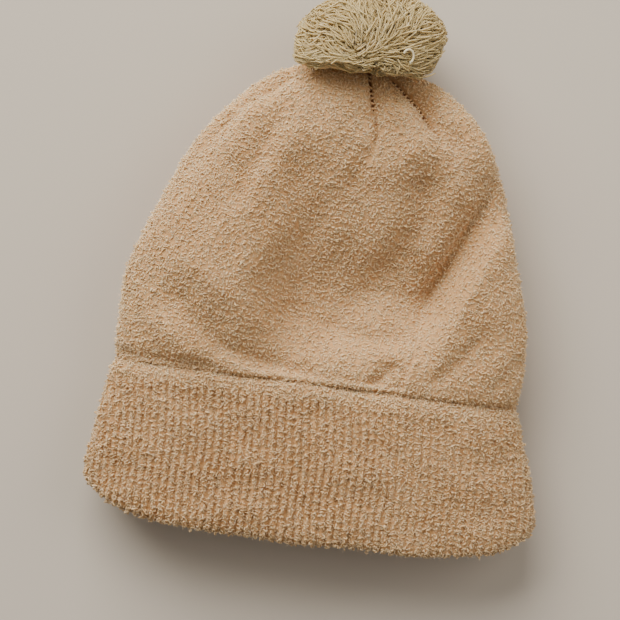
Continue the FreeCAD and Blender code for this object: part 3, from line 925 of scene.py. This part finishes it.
# ---------------------------------------------------------------- pom pom
POM_MIDDLE = np.array([-0.4, 108.6, 35.2])
POM_HALF = np.array([41.0, 36.6, 33.4])
HEART_SHARE = 0.87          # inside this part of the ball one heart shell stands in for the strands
BINDING_PLACE = np.array([0.0, 126.0, 38.8])
POM_STRANDS = 11000
POM_SQUARENESS = 2.15       # 2 would be an ellipsoid
STRAND_SHAPE = (0.5, 0.8, 1.0, 1.0, 1.0, 1.0, 1.0, 0.95, 0.6)
STRAND_RADII = (0.38, 0.54)
STRAND_SIDES = 4
STRAND_LENGTHS = (0.91, 1.05)
STRAND_FLOPS = (0.2, 0.6)   # the angle from a strand's root to its tip
ROOT_SCATTER = 0.085
LOCK_LEAN = 0.10
WIGGLE = 0.4
POM_LEAN = 0.2              # across for each millimetre along the hat
PARTING = (0.14, -0.18, 0.97)    # the strands fall away from this direction
CROWN_CLEARANCE = 1.2
CROWN_SLOPE = 0.34          # the crown's top as a cone round the tie: along for each millimetre out
LAP_OVER = 7.0              # how far the upper strands lie back over the crown, past the tie
LAP_START = (44, 12)        # the height where they start to, and how soon they all do
UNDER_GAP = 4.5             # the lowest strands keep this far off the crown, past the tie
UNDER_START = (25, 8)       # the same, downwards
STRAND_CLEARANCE = 0.8      # from the middle of a strand to the table
STRAND_PIECES = 4
HEART_RINGS = 32
HEART_COLUMNS = 60


def ball_points(ways):
    """Places on the pom pom's outside, as seen from its middle, in the given directions."""
    boxy = (np.abs(ways) ** POM_SQUARENESS).sum(-1, keepdims=True) ** (-1 / POM_SQUARENESS)
    places = ways * boxy * POM_HALF
    places[..., 0] += POM_LEAN * places[..., 1]
    return places


def locks(ways):
    """The common lean of neighbouring strands."""
    x, y, z = ways.T
    return np.stack([np.sin(y * 9 + z * 4) + np.sin(z * 17 + y * 5), np.sin(x * 11 + z * 3),
                     np.cos(x * 8 + 2) + np.sin(y * 15 + x * 4)], 1)


def pom_strand_paths(rng):
    """Each strand leaves the binding, comes out to the ball's surface and flops over along it."""
    k = np.arange(POM_STRANDS) + 0.5
    polar = np.arccos(1 - 2 * k / POM_STRANDS)
    turn = np.pi * (1 + 5 ** 0.5) * k
    tip = np.stack([np.cos(turn) * np.sin(polar), np.cos(polar), np.sin(turn) * np.sin(polar)], 1)
    pole = unit(np.array(PARTING))
    away = unit(tip - pole * (tip @ pole)[:, None])
    apart = np.arccos(np.clip(tip @ pole, -1, 1))
    fading = 1 - 0.6 * ease((apart - 1.0) / 1.2)
    bent = np.minimum(rng.uniform(*STRAND_FLOPS, POM_STRANDS) * fading, 0.8 * apart)
    root = unit(tip - away * bent[:, None] + LOCK_LEAN * locks(tip) + rng.normal(0, ROOT_SCATTER, tip.shape)
                + np.array([0, 0, 0.15]))
    q = np.linspace(0, 1, len(STRAND_SHAPE))[None, :, None]
    out = np.minimum(q / 0.72, 1) ** 0.9 * 0.84 + 0.16 * q
    length = rng.uniform(*STRAND_LENGTHS, POM_STRANDS)[:, None, None]
    flopped = np.maximum(q - 0.45, 0) / 0.55
    paths = ball_points(unit(root[:, None] * (1 - flopped) + tip[:, None] * flopped)) * out * length
    wiggle = np.cross(tip, rng.normal(0, 1, tip.shape))
    phase = rng.uniform(0, 6.28, (POM_STRANDS, 1, 1))
    paths = paths + wiggle[:, None] * WIGGLE * np.sin(q * 10 + phase) * q
    return POM_MIDDLE + paths + (BINDING_PLACE - POM_MIDDLE) * (1 - q) ** 2


def clear_of_crown(paths, clearance):
    """Bends the strands away from the crown's top, except where they can lie over it."""
    aside = np.hypot(paths[..., 0], paths[..., 2] - TIE_PLACE[2])
    over = ease((paths[..., 2] - LAP_START[0]) / LAP_START[1])
    under = ease((UNDER_START[0] - paths[..., 2]) / UNDER_START[1])
    cone = TIE_PLACE[1] + aside * CROWN_SLOPE
    ragged = ripple(paths[..., 0], paths[..., 2], 51, (17, 9, 5), 1.8)
    lying_over = TIE_PLACE[1] - LAP_OVER + ragged
    lowest = cone * (1 - over) + lying_over * over
    low_down = cone * (1 - under) + (TIE_PLACE[1] + UNDER_GAP) * under
    lowest = np.where(paths[..., 2] < 38, low_down, lowest)
    pushed = paths[..., 1] < lowest + clearance
    paths[..., 1] = np.maximum(paths[..., 1], lowest + clearance)
    # where that pushes a strand up along the hat, it comes in to stay within the ball
    leaning = np.zeros_like(paths) + POM_MIDDLE
    leaning[..., 0] += POM_LEAN * (paths[..., 1] - POM_MIDDLE[1])
    way = np.abs(paths - leaning) / POM_HALF
    room = np.clip(1 - way[..., 1] ** POM_SQUARENESS, 0.05, 1) ** (1 / POM_SQUARENESS)
    spread = (way[..., 0] ** POM_SQUARENESS + way[..., 2] ** POM_SQUARENESS) ** (1 / POM_SQUARENESS)
    share = np.where(pushed, np.minimum(room / np.maximum(spread, 0.01), 1), 1)
    for axis in (0, 2):
        paths[..., axis] = leaning[..., axis] + (paths[..., axis] - leaning[..., axis]) * share
    return on_table(paths, STRAND_CLEARANCE)


def make_pom():
    rng = np.random.default_rng(SEED + 2)
    clearance = CROWN_CLEARANCE + rng.uniform(0, 4.5, (POM_STRANDS, 1))
    paths = clear_of_crown(pom_strand_paths(rng), clearance)
    radii = rng.uniform(*STRAND_RADII, POM_STRANDS)[:, None] * np.array([STRAND_SHAPE])
    for i, chosen in enumerate(np.array_split(rng.permutation(POM_STRANDS), STRAND_PIECES)):
        vertices, faces = tubes(paths[chosen], radii[chosen], STRAND_SIDES)
        make_piece(f"pom_strands_{i + 1}", on_table(vertices), faces, POM_YARN, "pom_pom",
                   "pom_yarns")
    turn = np.linspace(-1.2, 2.9, 26)
    loose = np.stack([21.5 + 2.6 * np.cos(turn), 111 + 3.4 * np.sin(turn), 66.5 - 1.2 * np.cos(turn)], 1)
    thread_piece("pom_loose_strand", [loose], 0.6, LOOSE_YARN, "pom_pom", "pom_yarns")
    turn = np.linspace(0, 2 * np.pi, HEART_COLUMNS, endpoint=False)
    polar = np.linspace(0.04, np.pi - 0.04, HEART_RINGS)
    ways = np.stack([np.outer(np.sin(polar), np.cos(turn)), np.outer(np.cos(polar), np.ones(HEART_COLUMNS)),
                     np.outer(np.sin(polar), np.sin(turn))], -1)
    heart = clear_of_crown(ball_points(ways) * HEART_SHARE + POM_MIDDLE, CROWN_CLEARANCE + 4.0)
    make_piece("pom_heart", heart, table_faces(HEART_RINGS, HEART_COLUMNS), POM_HEART, "pom_pom",
               "pom_yarns")


# ---------------------------------------------------------------- staging
VIEW_LEAN = math.radians(7.3)
VIEW_CENTRE = (-11.8, -23.2)
VIEW_WIDTH = 327.0
VIEW_DISTANCE = 1200.0
VIEW_LEVEL = 22.0           # height at which the view is VIEW_WIDTH across
SENSOR_WIDTH = 36.0
FLOOR_HALF = 3.0            # metres, as the lights' places and sizes are
# Each soft light: its place, size, power and colour.
LIGHTS = {
    "window": ((-0.82, 1.50, 1.12), 1.9, 98.0, (1.0, 0.97, 0.92)),
    "room": ((1.3, 0.6, 1.3), 1.4, 13.0, (1.0, 0.95, 0.9)),
}
SKY_COLOUR = (1.0, 0.96, 0.9, 1)
SKY_STRENGTH = 0.29


def make_camera():
    data = bpy.data.cameras.new("camera")
    data.sensor_width = SENSOR_WIDTH
    data.lens = SENSOR_WIDTH * VIEW_DISTANCE / VIEW_WIDTH
    data.clip_start = 0.05
    camera = bpy.data.objects.new("camera", data)
    camera.location = (VIEW_CENTRE[0] * MM, VIEW_CENTRE[1] * MM, (VIEW_DISTANCE + VIEW_LEVEL) * MM)
    camera.rotation_euler = (0, 0, VIEW_LEAN)
    bpy.context.scene.collection.objects.link(camera)
    bpy.context.scene.camera = camera


def soft_light(name, place, size, power, colour):
    data = bpy.data.lights.new(name, "AREA")
    data.shape = "SQUARE"
    data.size = size
    data.energy = power
    data.color = colour
    light = bpy.data.objects.new(name, data)
    light.location = place
    aim = -np.array(place)
    light.rotation_euler = (
        math.atan2(math.hypot(aim[0], aim[1]), -aim[2]), 0, math.atan2(aim[0], -aim[1]) + math.pi)
    bpy.context.scene.collection.objects.link(light)


def make_stage():
    mesh = bpy.data.meshes.new("floor")
    corners = [(x * FLOOR_HALF, y * FLOOR_HALF, 0) for x, y in ((-1, -1), (1, -1), (1, 1), (-1, 1))]
    mesh.from_pydata(corners, [], [(0, 1, 2, 3)])
    mesh.materials.append(plain_floor())
    floor = bpy.data.objects.new("floor", mesh)
    bpy.context.scene.collection.objects.link(floor)
    for name, (place, size, power, colour) in LIGHTS.items():
        soft_light(name, place, size, power, colour)
    world = bpy.data.worlds.new("room")
    world.use_nodes = True
    sky = world.node_tree.nodes["Background"]
    sky.inputs["Color"].default_value = SKY_COLOUR
    sky.inputs["Strength"].default_value = SKY_STRENGTH
    bpy.context.scene.world = world


crown_points, crown_normals = make_crown()
cuff_points, cuff_normals = make_cuff()
make_seams(crown_points, crown_normals, cuff_points, cuff_normals)
make_tie()
make_pom()
make_camera()
make_stage()
